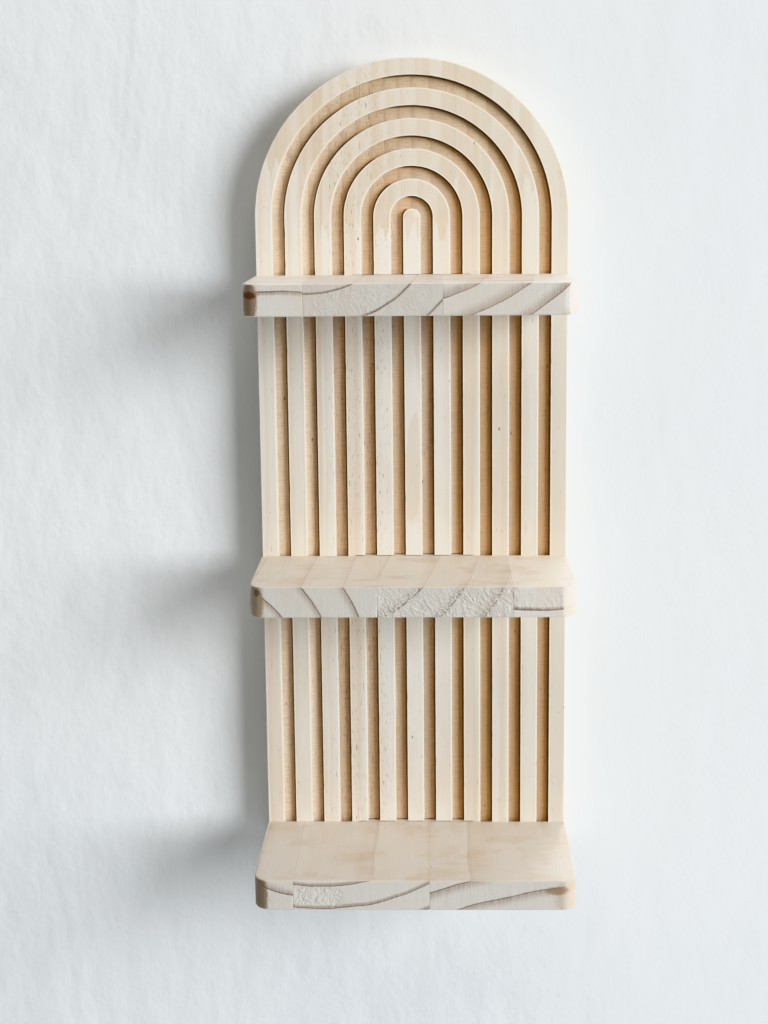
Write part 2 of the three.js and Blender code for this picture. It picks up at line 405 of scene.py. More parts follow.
def build_panel():
    panel = new_object("arched_board", panel_mesh())
    tools = []
    for name in SHELF_NAMES:
        low, high = SHELF_BOXES[name]
        outline = rounded_rectangle(TENON_HALF_WIDTH + MORTISE_SIDE_GAP, low.z - MORTISE_BOTTOM_GAP,
                                    high.z + MORTISE_TOP_GAPS[name], TENON_CORNER)
        tools.append(prism("mortise", outline, LAND_Y - 2 * OVERCUT, LAND_Y + MORTISE_DEPTH))
    for node, kind in screw_nodes():
        tools.append(screw_hole(kind, screw_place(node)))
    for side in ("left", "right"):
        low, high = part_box(f"hanger_plate_{side}")
        x = (low.x + high.x) / 2
        recess = stadium(x, low.z - RECESS_GAP, high.z + RECESS_GAP, PLATE_RADIUS + RECESS_GAP)
        tools.append(prism("recess", recess, low.y - RECESS_FLOOR_GAP, BACK_Y + 2 * OVERCUT))
        hole_z = (low.z + high.z) / 2 - KEYHOLE_DROP
        pocket = stadium(x, hole_z - POCKET_RADIUS, hole_z + KEYHOLE_RISE + POCKET_RADIUS,
                         POCKET_RADIUS)
        tools.append(prism("pocket", pocket, BACK_Y - POCKET_DEPTH, BACK_Y + 3 * OVERCUT))
    combine(panel, tools, "DIFFERENCE")
    smooth_by_angle(panel)
    dress(panel, panel_pine(), "back_panel")


# ---------------------------------------------------------------- shelves
# A stave is one glued-in strip of pine. Its rings are circles round a pith line that runs front
# to back: start is where it begins, from the shelf's left end, and pith, ring and period are in mm
# from that end and from the shelf's underside. Lean turns the rings as they run back.

SHELF_STAVES = {
    "top_shelf": [
        dict(start=0, pith=(18.4, -140), ring=155.7, period=22, band=0.15, lean=0.00, tone=1.03),
        dict(start=36.5, pith=(40, 76), ring=83.7, period=20.6, band=0.10, lean=0.05, tone=0.935),
        dict(start=119.5, pith=(82, 141), ring=151.8, period=15.4, band=0.50, lean=0.08, tone=1.02),
    ],
    "middle_shelf": [
        dict(start=0, pith=(-36, -40.5), ring=90.8, period=20.7, band=0.26, lean=0.07, tone=0.965),
        dict(start=78.5, pith=(45, 75), ring=83.8, period=20.5, band=0.36, lean=0.15, tone=0.96),
        dict(start=161.5, pith=(175, 150), ring=146, period=25, band=0.12, lean=0.0, tone=1.075),
    ],
    "bottom_shelf": [
        dict(start=0, pith=(31.6, 66.5), ring=57.6, period=20, band=0.30, lean=0.05, tone=0.98),
        dict(start=24.7, pith=(43, 140), ring=139.4, period=14.8, band=0.20, lean=0.00, tone=1.0),
        dict(start=109.5, pith=(235, -338), ring=356, period=15.7, band=0.42, lean=0.0, tone=0.98),
    ],
}

# Brown patches, and painted shade on rounded corners (the entries as tall as the shelf): (x, z,
# half width, half height, strength, colour), in mm.
SHELF_STAINS_AND_SHADE = {
    "top_shelf": [
        (4.6, 9.0, 5.2, 14.0, 0.80, (144, 114, 80)),
        (5.0, 12.6, 5.4, 2.8, 0.85, (108, 62, 34)),
    ],
    "middle_shelf": [
        (4.4, 9.0, 5.2, 14.0, 0.75, (172, 150, 115)),
        (5.2, 15.6, 2.4, 3.0, 0.60, (88, 66, 42)),
    ],
    "bottom_shelf": [
        (3.0, 9.0, 6.5, 14.0, 0.75, (138, 118, 86)),
        (197.0, 9.0, 10.5, 14.0, 0.45, (188, 168, 140)),
        (188.5, 12.9, 9.0, 3.4, 0.70, (150, 120, 90)),
    ],
}

# How far the rounded corners' long grain reaches in from the left and the right end, in mm.
END_GRAIN_MARGINS = {
    "top_shelf": (8.6, 6.0),
    "middle_shelf": (7.6, 8.5),
    "bottom_shelf": (6.0, 6.5),
}

# How strongly warm clouds tint each shelf's end grain, from 0 to 1.
END_GRAIN_WARMTH = {"top_shelf": 0.22, "middle_shelf": 0.22, "bottom_shelf": 0.0}

# Colours of the long grain on the tops, most of it first, then its warmer clouds.
LONG_GRAIN = {
    "top_shelf": ((246, 242, 238), (242, 233, 222)),
    "middle_shelf": ((239, 232, 223), (234, 222, 204)),
    "bottom_shelf": ((230, 223, 215), (226, 214, 200)),
}

# Rough patches of torn end grain: (from, to, lower, upper, depth in mm, stroke angle in degrees).
TORN_PATCHES = {
    "top_shelf": [(38, 110, -3, 23, 0.22, 62)],
    "middle_shelf": [(79, 163, -3, 24, 0.50, 52), (160, 192, 5, 24, 0.30, 65)],
    "bottom_shelf": [(25, 56, 2, 15, 0.50, -55), (112, 192, -3, 22, 0.10, 90)],
}

DEEPLY_TORN = 0.4  # mm; from here on the rings are broken up too

SHELF_EASE = 0.8 * MM
EASE_TURNS = (0, 22.5, 45, 67.5)  # degrees round the eased edges
FRONT_STEP = 0.4 * MM
SIDE_STEPS = 40
CORNER_STEPS = 36
TORN_EDGE = 4.0  # mm over which a torn patch fades in


FINE_SEED, STROKE_SEED = 21, 31
# How deep the marks in the shelves' fronts are, in mm.
SAW_MARKS = 0.018
FUZZ = 0.010
RING_EDGES = 0.09
GLUE_LINES = 0.05


def front_relief(name, x, z):
    """How far the front is cut in, in metres, at x mm from the left end and z mm up."""
    fine = Noise(SHELF_NAMES.index(name) + FINE_SEED)
    stroke = Noise(SHELF_NAMES.index(name) + STROKE_SEED)
    relief = SAW_MARKS * (1 + fine(x / 0.8, z / 9.0)) + FUZZ * (1 + fine(x / 0.5, z / 0.6))
    for left, right, low, high, depth, angle in TORN_PATCHES[name]:
        turn = math.radians(angle)
        along = x * math.cos(turn) - z * math.sin(turn)
        across = x * math.sin(turn) + z * math.cos(turn)
        strokes = stroke(across / 1.1, along / 2.8) + 0.5 * stroke(across / 0.7, along / 1.1)
        strokes = np.abs(strokes)
        wobble = 3.0 * fine(z / 5.0, x / 11.0)
        inside = smoothstep(left - TORN_EDGE / 2, left + TORN_EDGE / 2, x + wobble)
        inside = inside * (1 - smoothstep(right - TORN_EDGE / 2, right + TORN_EDGE / 2, x + wobble))
        inside = inside * smoothstep(low - 1.5, low + 1.5, z + wobble / 2)
        inside = inside * (1 - smoothstep(high - 1.5, high + 1.5, z + wobble / 2))
        patchy = 0.6 + 0.4 * stroke(x / 7.0, z / 6.0)
        relief = relief + depth * inside * patchy * (1 - strokes)
    for stave, following in zip(SHELF_STAVES[name], SHELF_STAVES[name][1:] + [dict(start=300)]):
        distance = np.hypot(x - stave["pith"][0], z - stave["pith"][1])
        turn = (distance - stave["ring"]) / stave["period"]
        gap = np.abs(turn - np.round(turn)) * stave["period"]
        mask = (x >= stave["start"]) & (x < following["start"])
        relief = relief + mask * RING_EDGES * np.exp(-(gap / 0.35) ** 2)
        if stave["start"] > 0:
            relief = relief + GLUE_LINES * np.exp(-((x - stave["start"]) / 0.3) ** 2)
    return relief * MM


def shelf_outline(low, high):
    """(x, y, outward x, outward y) anticlockwise as seen from above, from the back left corner."""
    left, right, back, front = low.x, high.x, LAND_Y - GLUE_GAP, low.y
    radius = SHELF_CORNER
    outline = []

    def add_corner(centre_x, start):
        for k in range(CORNER_STEPS):
            angle = start + math.pi / 2 * k / CORNER_STEPS
            c, s = math.cos(angle), math.sin(angle)
            outline.append((centre_x + radius * c, front + radius + radius * s, c, s))

    for y in np.linspace(back, front + radius, SIDE_STEPS, endpoint=False):
        outline.append((left, y, -1, 0))
    add_corner(left + radius, math.pi)
    steps = round((right - left - 2 * radius) / FRONT_STEP)
    for x in np.linspace(left + radius, right - radius, steps, endpoint=False):
        outline.append((x, front, 0, -1))
    add_corner(right - radius, 1.5 * math.pi)
    for y in np.linspace(front + radius, back, SIDE_STEPS):
        outline.append((right, y, 1, 0))
    return np.array(outline)


def shelf_mesh(name):
    low, high = SHELF_BOXES[name]
    outline = shelf_outline(low, high)
    thickness = high.z - low.z
    ease = SHELF_EASE
    levels = [(ease * (1 - math.sin(math.radians(turn))), ease * (1 - math.cos(math.radians(turn))))
              for turn in EASE_TURNS]
    middle = np.linspace(ease, thickness - ease, round((thickness - 2 * ease) / FRONT_STEP))
    levels += [(0, z) for z in middle]
    levels += [(inset, thickness - z) for inset, z in levels[3::-1]]
    levels = np.array(levels)
    inset, height = levels[:, 0][:, None], levels[:, 1][:, None]
    x0, y0, nx, ny = (outline[:, k][None, :] for k in range(4))
    local_x = (x0 - low.x) / MM + 0 * height
    local_z = height / MM + 0 * x0
    facing = smoothstep(0.5, 0.98, -ny)
    to_top = thickness / MM - local_z
    body = smoothstep(0.0, 1.2, local_z) * smoothstep(0.0, 1.2, to_top)
    cut = front_relief(name, local_x, local_z) * facing * (0.35 + 0.65 * body)
    x = x0 - nx * (inset + cut)
    y = y0 - ny * (inset + cut)
    z = low.z + height + 0 * x0
    rows, columns = x.shape
    points = np.stack([x, y, z], axis=-1).reshape(-1, 3)
    faces = []
    for i in range(rows - 1):
        for j in range(columns):
            k = (j + 1) % columns
            a, b = i * columns, (i + 1) * columns
            faces.append((a + j, a + k, b + k, b + j))
    faces.append(tuple(range(columns))[::-1])
    faces.append(tuple(range((rows - 1) * columns, rows * columns)))
    mesh = bpy.data.meshes.new(name + "_wood")
    mesh.from_pydata(points.tolist(), [], faces)
    return mesh


def build_shelf(name):
    low, high = SHELF_BOXES[name]
    shelf = new_object(name + "_wood", shelf_mesh(name))
    fix_normals(shelf)
    outline = rounded_rectangle(TENON_HALF_WIDTH, low.z + TENON_SHRINK, high.z - TENON_SHRINK,
                                TENON_CORNER)
    tenon = prism("tenon", outline, LAND_Y - TENON_ROOT, LAND_Y + TENON_LENGTH, TENON_BEVEL)
    combine(shelf, [tenon], "UNION")
    holes = [screw_hole(kind, screw_place(node)) for node, kind in screw_nodes()
             if node.startswith(name)]
    combine(shelf, holes, "DIFFERENCE")
    smooth_by_angle(shelf, 50)
    dress(shelf, shelf_pine(name), name)


# ---------------------------------------------------------------- screws and keyhole plates

def recess_blade(place, head, turn):
    """One tapered blade of the cross-shaped driver recess, turned about the screw's axis."""
    work = bmesh.new()
    reach, half, deep = head * 0.56, head * 0.12, head * 0.5
    taper = 0.45
    corners = ((-reach, -half), (reach, -half), (reach, half), (-reach, half))
    rings = []
    for y, scale in ((0.3 * MM, 1.0), (-deep, taper)):
        ring = []
        for u, v in corners:
            u, v = u * scale, v * (0.5 + scale / 2)
            x = place[0] + u * math.cos(turn) - v * math.sin(turn)
            z = place[2] + u * math.sin(turn) + v * math.cos(turn)
            ring.append(work.verts.new((x, place[1] + y, z)))
        rings.append(ring)
    for k in range(4):
        n = (k + 1) % 4
        work.faces.new((rings[0][k], rings[0][n], rings[1][n], rings[1][k]))
    work.faces.new(rings[0])
    work.faces.new(rings[1][::-1])
    bmesh.ops.recalc_face_normals(work, faces=work.faces)
    return object_from_bmesh("blade", work)


def build_screw(node, kind):
    place = screw_place(node)
    head, shank, length, tip = kind["head"], kind["shank"], kind["length"], kind["tip"]
    smooth_shank = length * 0.35
    chamfer = 0.12 * MM
    profile = [(0, 0), (head - chamfer, 0), (head, chamfer), (head, HEAD_RIM),
               (shank, HEAD_RIM + head - shank), (shank, smooth_shank)]
    pitch = shank * 0.85
    root = shank * 0.72
    depth = smooth_shank
    while depth < length - tip:
        profile += [(root, depth + pitch * 0.35), (shank, depth + pitch * 0.5),
                    (root, depth + pitch * 0.65)]
        depth += pitch
    profile += [(root, length - tip), (0, length)]
    screw = turned(node + "_steel", profile, place, facets=48)
    blades = [recess_blade(place, head, RECESS_TURN + quarter) for quarter in (0, math.pi / 2)]
    combine(screw, blades, "DIFFERENCE")
    smooth_by_angle(screw, 35)
    dress(screw, ZINC, node)


def build_plate(side):
    node = f"hanger_plate_{side}"
    low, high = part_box(node)
    x = (low.x + high.x) / 2
    outline = stadium(x, low.z, high.z, PLATE_RADIUS, 28)
    plate = prism(node + "_steel", outline, low.y, high.y, PLATE_BEVEL)
    hole_z = (low.z + high.z) / 2 - KEYHOLE_DROP
    spread = math.asin(KEYHOLE_SLOT_HALF / KEYHOLE_RADIUS)
    keyhole = []
    for k in range(41):
        angle = math.pi / 2 + spread + (2 * math.pi - 2 * spread) * k / 40
        keyhole.append((x + KEYHOLE_RADIUS * math.cos(angle),
                        hole_z + KEYHOLE_RADIUS * math.sin(angle)))
    for k in range(21):
        angle = math.pi * k / 20
        keyhole.append((x + KEYHOLE_SLOT_HALF * math.cos(angle),
                        hole_z + KEYHOLE_RISE + KEYHOLE_SLOT_HALF * math.sin(angle)))
    tools = [prism("keyhole", keyhole, low.y - OVERCUT, high.y + OVERCUT)]
    for end in ("lower", "upper"):
        place = screw_place(f"hanger_screw_{side}_{end}")
        tools.append(screw_hole(HANGER_SCREW, place))
    combine(plate, tools, "DIFFERENCE")
    smooth_by_angle(plate, 35)
    dress(plate, ZINC, node)


# ---------------------------------------------------------------- node materials

def srgb(red, green, blue):
    """Linear colour from 0 to 255 screen values."""
    values = []
    for channel in (red, green, blue):
        c = channel / 255
        values.append(c / 12.92 if c <= 0.04045 else ((c + 0.055) / 1.055) ** 2.4)
    return (*values, 1.0)


class Graph:
    """Builds one node material. Sockets and plain values can both be fed to an input."""

    def __init__(self, name):
        self.material = bpy.data.materials.new(name)
        self.material.use_nodes = True
        self.tree = self.material.node_tree
        self.tree.nodes.clear()
        self.output = self.tree.nodes.new("ShaderNodeOutputMaterial")

    def feed(self, socket, value):
        if isinstance(value, bpy.types.NodeSocket):
            self.tree.links.new(value, socket)
        else:
            socket.default_value = value

    def node(self, kind, inputs=None, **settings):
        made = self.tree.nodes.new(kind)
        for key, value in settings.items():
            setattr(made, key, value)
        for key, value in (inputs or {}).items():
            self.feed(made.inputs[key], value)
        return made

    def math(self, operation, *values):
        inputs = dict(enumerate(values))
        return self.node("ShaderNodeMath", inputs, operation=operation).outputs[0]

    def add(self, a, b):
        return self.math("ADD", a, b)

    def sub(self, a, b):
        return self.math("SUBTRACT", a, b)

    def mul(self, a, b):
        return self.math("MULTIPLY", a, b)

    def split(self, vector):
        return self.node("ShaderNodeSeparateXYZ", {0: vector}).outputs

    def mix(self, factor, first, second):
        return self.node("ShaderNodeMix", {0: factor, 2: first, 3: second}).outputs[0]

    def vector(self, operation, *values):
        inputs = dict(enumerate(values))
        return self.node("ShaderNodeVectorMath", inputs, operation=operation).outputs[0]

    def scaled(self, vector, x, y, z):
        return self.vector("MULTIPLY", vector, (x, y, z))

    def step(self, value, low, high, to_low=0.0, to_high=1.0, smooth=True):
        """Maps low..high to to_low..to_high; low may be above high, which turns it round."""
        if isinstance(low, float | int) and isinstance(high, float | int) and low > high:
            low, high, to_low, to_high = high, low, to_high, to_low
        inputs = {0: value, 1: low, 2: high, 3: to_low, 4: to_high}
        kind = "SMOOTHSTEP" if smooth else "LINEAR"
        made = self.node("ShaderNodeMapRange", inputs, interpolation_type=kind, clamp=True)
        return made.outputs[0]

    def noise(self, vector, scale=1.0, detail=2.0, roughness=0.5, distortion=0.0):
        inputs = {"Vector": vector, "Scale": scale, "Detail": detail, "Roughness": roughness,
                  "Distortion": distortion}
        return self.node("ShaderNodeTexNoise", inputs).outputs[0]

    def blend(self, factor, first, second, mode="MIX"):
        made = self.node("ShaderNodeMix", {0: factor, 6: first, 7: second}, data_type="RGBA",
                         blend_type=mode)
        return made.outputs[2]

    def surface(self, colour, roughness, bump_height, bump_distance, bump_strength=1.0, **sockets):
        bump = self.node("ShaderNodeBump", {"Strength": bump_strength, "Distance": bump_distance,
                                            "Height": bump_height})
        inputs = {"Base Color": colour, "Roughness": roughness, "Normal": bump.outputs[0]}
        inputs.update(sockets)
        shader = self.node("ShaderNodeBsdfPrincipled", inputs)
        self.tree.links.new(shader.outputs[0], self.output.inputs[0])
        return self.material


class Pine(Graph):
    """A graph with what all the pine materials share: millimetre coordinates and ring shading."""

    def __init__(self, name):
        super().__init__(name)
        position = self.node("ShaderNodeTexCoord").outputs["Object"]
        self.mm = self.scaled(position, 1000.0, 1000.0, 1000.0)
        self.x, self.y, self.z = self.split(self.mm)
        normal = self.node("ShaderNodeNewGeometry").outputs["Normal"]
        self.facing = self.split(normal)

    def distance(self, a, b):
        return self.math("SQRT", self.add(self.mul(a, a), self.mul(b, b)))

    def rings(self, radius, ring, period, band):
        """(late wood band, dark outer line) of growth rings at a distance from the pith."""
        turn = self.math("FRACT", self.math("DIVIDE", self.sub(radius, ring), period))
        late = self.step(turn, 1.0 - band, 0.985 if band > 0.2 else 1.0 - band / 2)
        edge = self.step(turn, 0.985, 0.998, 1.0, 0.0)
        line = self.mul(self.step(turn, 0.935, 0.975), edge)
        return self.mul(late, edge), line


# The board's three staves meet at these X, in mm, and their blocks are finger-jointed end to end.
LEFT_JOINT, RIGHT_JOINT = -58.5, 26.0
FINGER_JOINT_Z = 411.0
FINGER_JOINT_RISE = (42.0, 30.0)  # how much higher the left and right staves' joints are
FINGER_WIDTH, FINGER_HEIGHT = 3.6, 11.0


def panel_pine():
    g = Pine("panel_pine")
    x, y, z = g.x, g.y, g.z
    above = g.math("MAXIMUM", g.sub(z, ARCH_Z / MM), 0.0)
    path = g.distance(x, above)
    turn = g.math("DIVIDE", g.sub(path, LAND_WIDTH / MM / 2), PITCH / MM)
    turn = g.math("FRACT", turn)
    across = g.mul(turn, PITCH / MM)
    depth = g.sub(y, LAND_Y / MM)
    front = g.step(g.facing[1], -0.3, -0.7)
    inside = g.step(path, ARCH_RADIUS / MM - 1.5, ARCH_RADIUS / MM - 1.0, 1.0, 0.0)
    cut = g.mul(g.step(depth, 0.6, 3.0), g.step(depth, 4.5, 5.0, 1.0, 0.0))
    floor = g.mul(cut, inside)

    # staves and their finger joints
    left = g.step(x, LEFT_JOINT - 0.1, LEFT_JOINT + 0.1, 1.0, 0.0, smooth=False)
    right = g.step(x, RIGHT_JOINT - 0.1, RIGHT_JOINT + 0.1, smooth=False)
    wander = g.noise(g.scaled(g.mm, 0.31, 0.0, 0.0), detail=0.0)
    teeth = g.math("PINGPONG", g.add(x, g.mul(wander, 5.0)), FINGER_WIDTH)
    teeth = g.step(teeth, 0.6, 3.0, 0.0, FINGER_HEIGHT, smooth=False)
    rise = g.add(g.mul(left, FINGER_JOINT_RISE[0]), g.mul(right, FINGER_JOINT_RISE[1]))
    joint = g.add(FINGER_JOINT_Z, rise)
    height = g.sub(z, g.add(joint, teeth))
    block = g.step(height, -0.15, 0.15, smooth=False)

    def choose(values):
        """One of six values by stave (left, middle, right) and block (lower, upper)."""
        pairs = [g.blend(block, low, high) for low, high in values]
        return g.blend(right, g.blend(left, pairs[1], pairs[0]), pairs[2])

    pith = choose([((-112, 70, 0, 1), (-40, 64, 5, 1)),
                   ((-30, 74, 9, 1), (24, 58, 3, 1)),
                   ((96, 66, 7, 1), (70, 80, 2, 1))])
    pith_x, pith_y, phase = g.split(pith)
    warp = g.noise(g.scaled(g.mm, 0.03, 0.03, 0.0045), detail=2.0)
    sway = g.mul(g.sub(warp, 0.5), 9.0)
    radius = g.distance(g.sub(x, pith_x), g.sub(y, pith_y))
    radius = g.add(radius, g.add(sway, phase))
    late, _ = g.rings(radius, 0.0, 7.5, 0.55)

    # each stave and block has its own tone; the right stave's is also darker to offset the stronger
    # light on the right, which is painted shade
    tint = choose([(srgb(240, 235, 225), srgb(230, 218, 199)),
                   (srgb(243, 240, 233), srgb(231, 219, 200)),
                   (srgb(233, 228, 216), srgb(228, 220, 203))])
    band = g.noise(g.scaled(g.mm, 0.055, 0.0, 0.002), detail=1.0)
    band = g.step(band, 0.44, 0.50)
    colour = g.blend(g.mul(band, 0.5), tint, srgb(243, 239, 230))
    apart = g.vector("ADD", g.scaled(g.mm, 0.07, 0.0, 0.0015), (8.0, 3.0, 2.0))
    dark_band = g.noise(apart, detail=1.0)
    colour = g.blend(g.step(dark_band, 0.52, 0.60, 0.0, 0.35), colour, srgb(226, 204, 178))
    colour = g.blend(g.mul(late, 0.28), colour, srgb(222, 201, 172))
    fibre = g.noise(g.scaled(g.mm, 2.6, 2.6, 0.035), detail=3.0, roughness=0.6)
    colour = g.blend(g.step(fibre, 0.40, 0.80, 0.0, 0.26), colour, srgb(212, 192, 164))
    blotch = g.noise(g.scaled(g.mm, 0.05, 0.05, 0.02), detail=3.0)
    colour = g.blend(g.step(blotch, 0.5, 0.72, 0.0, 0.25), colour, srgb(232, 214, 190))

    # groove floors: painted shade, browner and darker towards the groove wall that blocks the light
    # from the right and above, with fine marks across
    # lean says how far each spot's outward direction points towards that light
    lean = g.add(g.mul(x, 0.93), g.mul(above, 0.37))
    light_from_outer = g.step(g.math("DIVIDE", lean, path), -0.3, 0.3)
    other = g.sub(GROOVE_WIDTH / MM, across)
    from_shading_wall = g.mix(light_from_outer, across, other)
    side = g.step(from_shading_wall, 0.6, 7.3, 1.0, 0.0)
    # the floor's lit colour, then its painted shade colour, for each stave and for the arch
    open_side = g.blend(right, g.blend(left, srgb(218, 200, 177), srgb(238, 224, 203)),
                        srgb(212, 181, 142))
    painted_shade_tone = g.blend(right, g.blend(left, srgb(246, 202, 152), srgb(248, 210, 166)),
                     srgb(238, 182, 118))
    arch = g.step(z, ARCH_Z / MM + 5, ARCH_Z / MM + 60)
    open_side = g.blend(arch, open_side, srgb(222, 205, 181))
    painted_shade_tone = g.blend(arch, painted_shade_tone, srgb(222, 194, 154))
    floor_colour = g.blend(side, open_side, painted_shade_tone)
    chatter = g.noise(g.scaled(g.mm, 0.12, 0.0, 1.7), detail=2.0)
    floor_colour = g.blend(g.step(chatter, 0.4, 0.7, 0.0, 0.30), floor_colour, srgb(168, 130, 94))
    tear = g.noise(g.scaled(g.mm, 1.7, 0.4, 0.22), detail=2.0, roughness=0.7)
    torn = g.mul(g.step(tear, 0.58, 0.72), g.step(arch, 0.0, 1.0, 0.5, 0.9))
    floor_colour = g.blend(g.mul(torn, 0.6), floor_colour, srgb(140, 100, 66))
    floor_colour = g.blend(g.mul(late, 0.32), floor_colour, srgb(182, 140, 100))
    # painted shade, deepest in the floor's corner against the wall that blocks the light
    corner = g.step(from_shading_wall, 0.5, 1.6, 0.9, 0.0)
    floor_colour = g.blend(corner, floor_colour, srgb(100, 62, 34))
    # and a painted shadow on the groove floors just under the upper two shelves
    for name in SHELF_NAMES[1:]:
        below = g.sub(SHELF_BOXES[name][0].z / MM, z)
        painted_shelf_shadow = g.mul(g.step(below, 3.0, 38.0, 0.45, 0.0), g.step(below, -1.0, 0.0))
        floor_colour = g.blend(painted_shelf_shadow, floor_colour, srgb(104, 66, 38))
    colour = g.blend(g.mul(floor, 0.92), colour, floor_colour)

    # resin dashes and pin dots
    apart = g.vector("ADD", g.scaled(g.mm, 1.9, 0.9, 0.16), (31.0, 4.0, 9.0))
    dash = g.noise(apart, detail=1.0)
    resinous = g.mul(g.step(x, -60.0, -50.0), g.step(x, -22.0, -10.0, 1.0, 0.0))
    dash = g.add(dash, g.mul(resinous, 0.07))
    dash = g.step(dash, 0.715, 0.77)
    colour = g.blend(g.mul(dash, 0.62), colour, srgb(136, 106, 80))
    cells = g.scaled(g.mm, 0.085, 0.02, 0.038)
    dots = g.node("ShaderNodeTexVoronoi", {"Vector": cells, "Scale": 1.0})
    spot = g.step(dots.outputs["Distance"], 0.030, 0.055, 1.0, 0.0)
    colour = g.blend(g.mul(spot, 0.7), colour, srgb(96, 66, 46))

    # pale edges of the lands: worn wood, and a painted highlight where the eased edges catch the
    # light
    to_edge = g.math("MINIMUM", g.sub(across, GROOVE_WIDTH / MM), g.sub(PITCH / MM, across))
    edge = g.mul(front, g.step(depth, 0.5, 0.9, 1.0, 0.0))
    edge = g.mul(edge, g.step(to_edge, 0.45, 1.05, 1.0, 0.0))
    edge = g.mul(edge, g.step(arch, 0.0, 1.0, 0.9, 0.5))
    colour = g.blend(edge, colour, srgb(255, 253, 246))

    pores = g.noise(g.scaled(g.mm, 5.0, 5.0, 0.25), detail=2.0)
    bump = g.add(g.mul(fibre, 0.6), g.mul(pores, 0.5))
    bump = g.add(bump, g.mul(g.mul(chatter, floor), 1.6))
    bump = g.sub(bump, g.mul(g.mul(torn, floor), 1.2))
    bump = g.sub(bump, g.add(dash, spot))
    rough = g.step(fibre, 0.3, 0.8, 0.50, 0.68, smooth=False)
    rough = g.sub(rough, g.mul(late, 0.06))
    return g.surface(colour, rough, bump, 0.06 * MM)


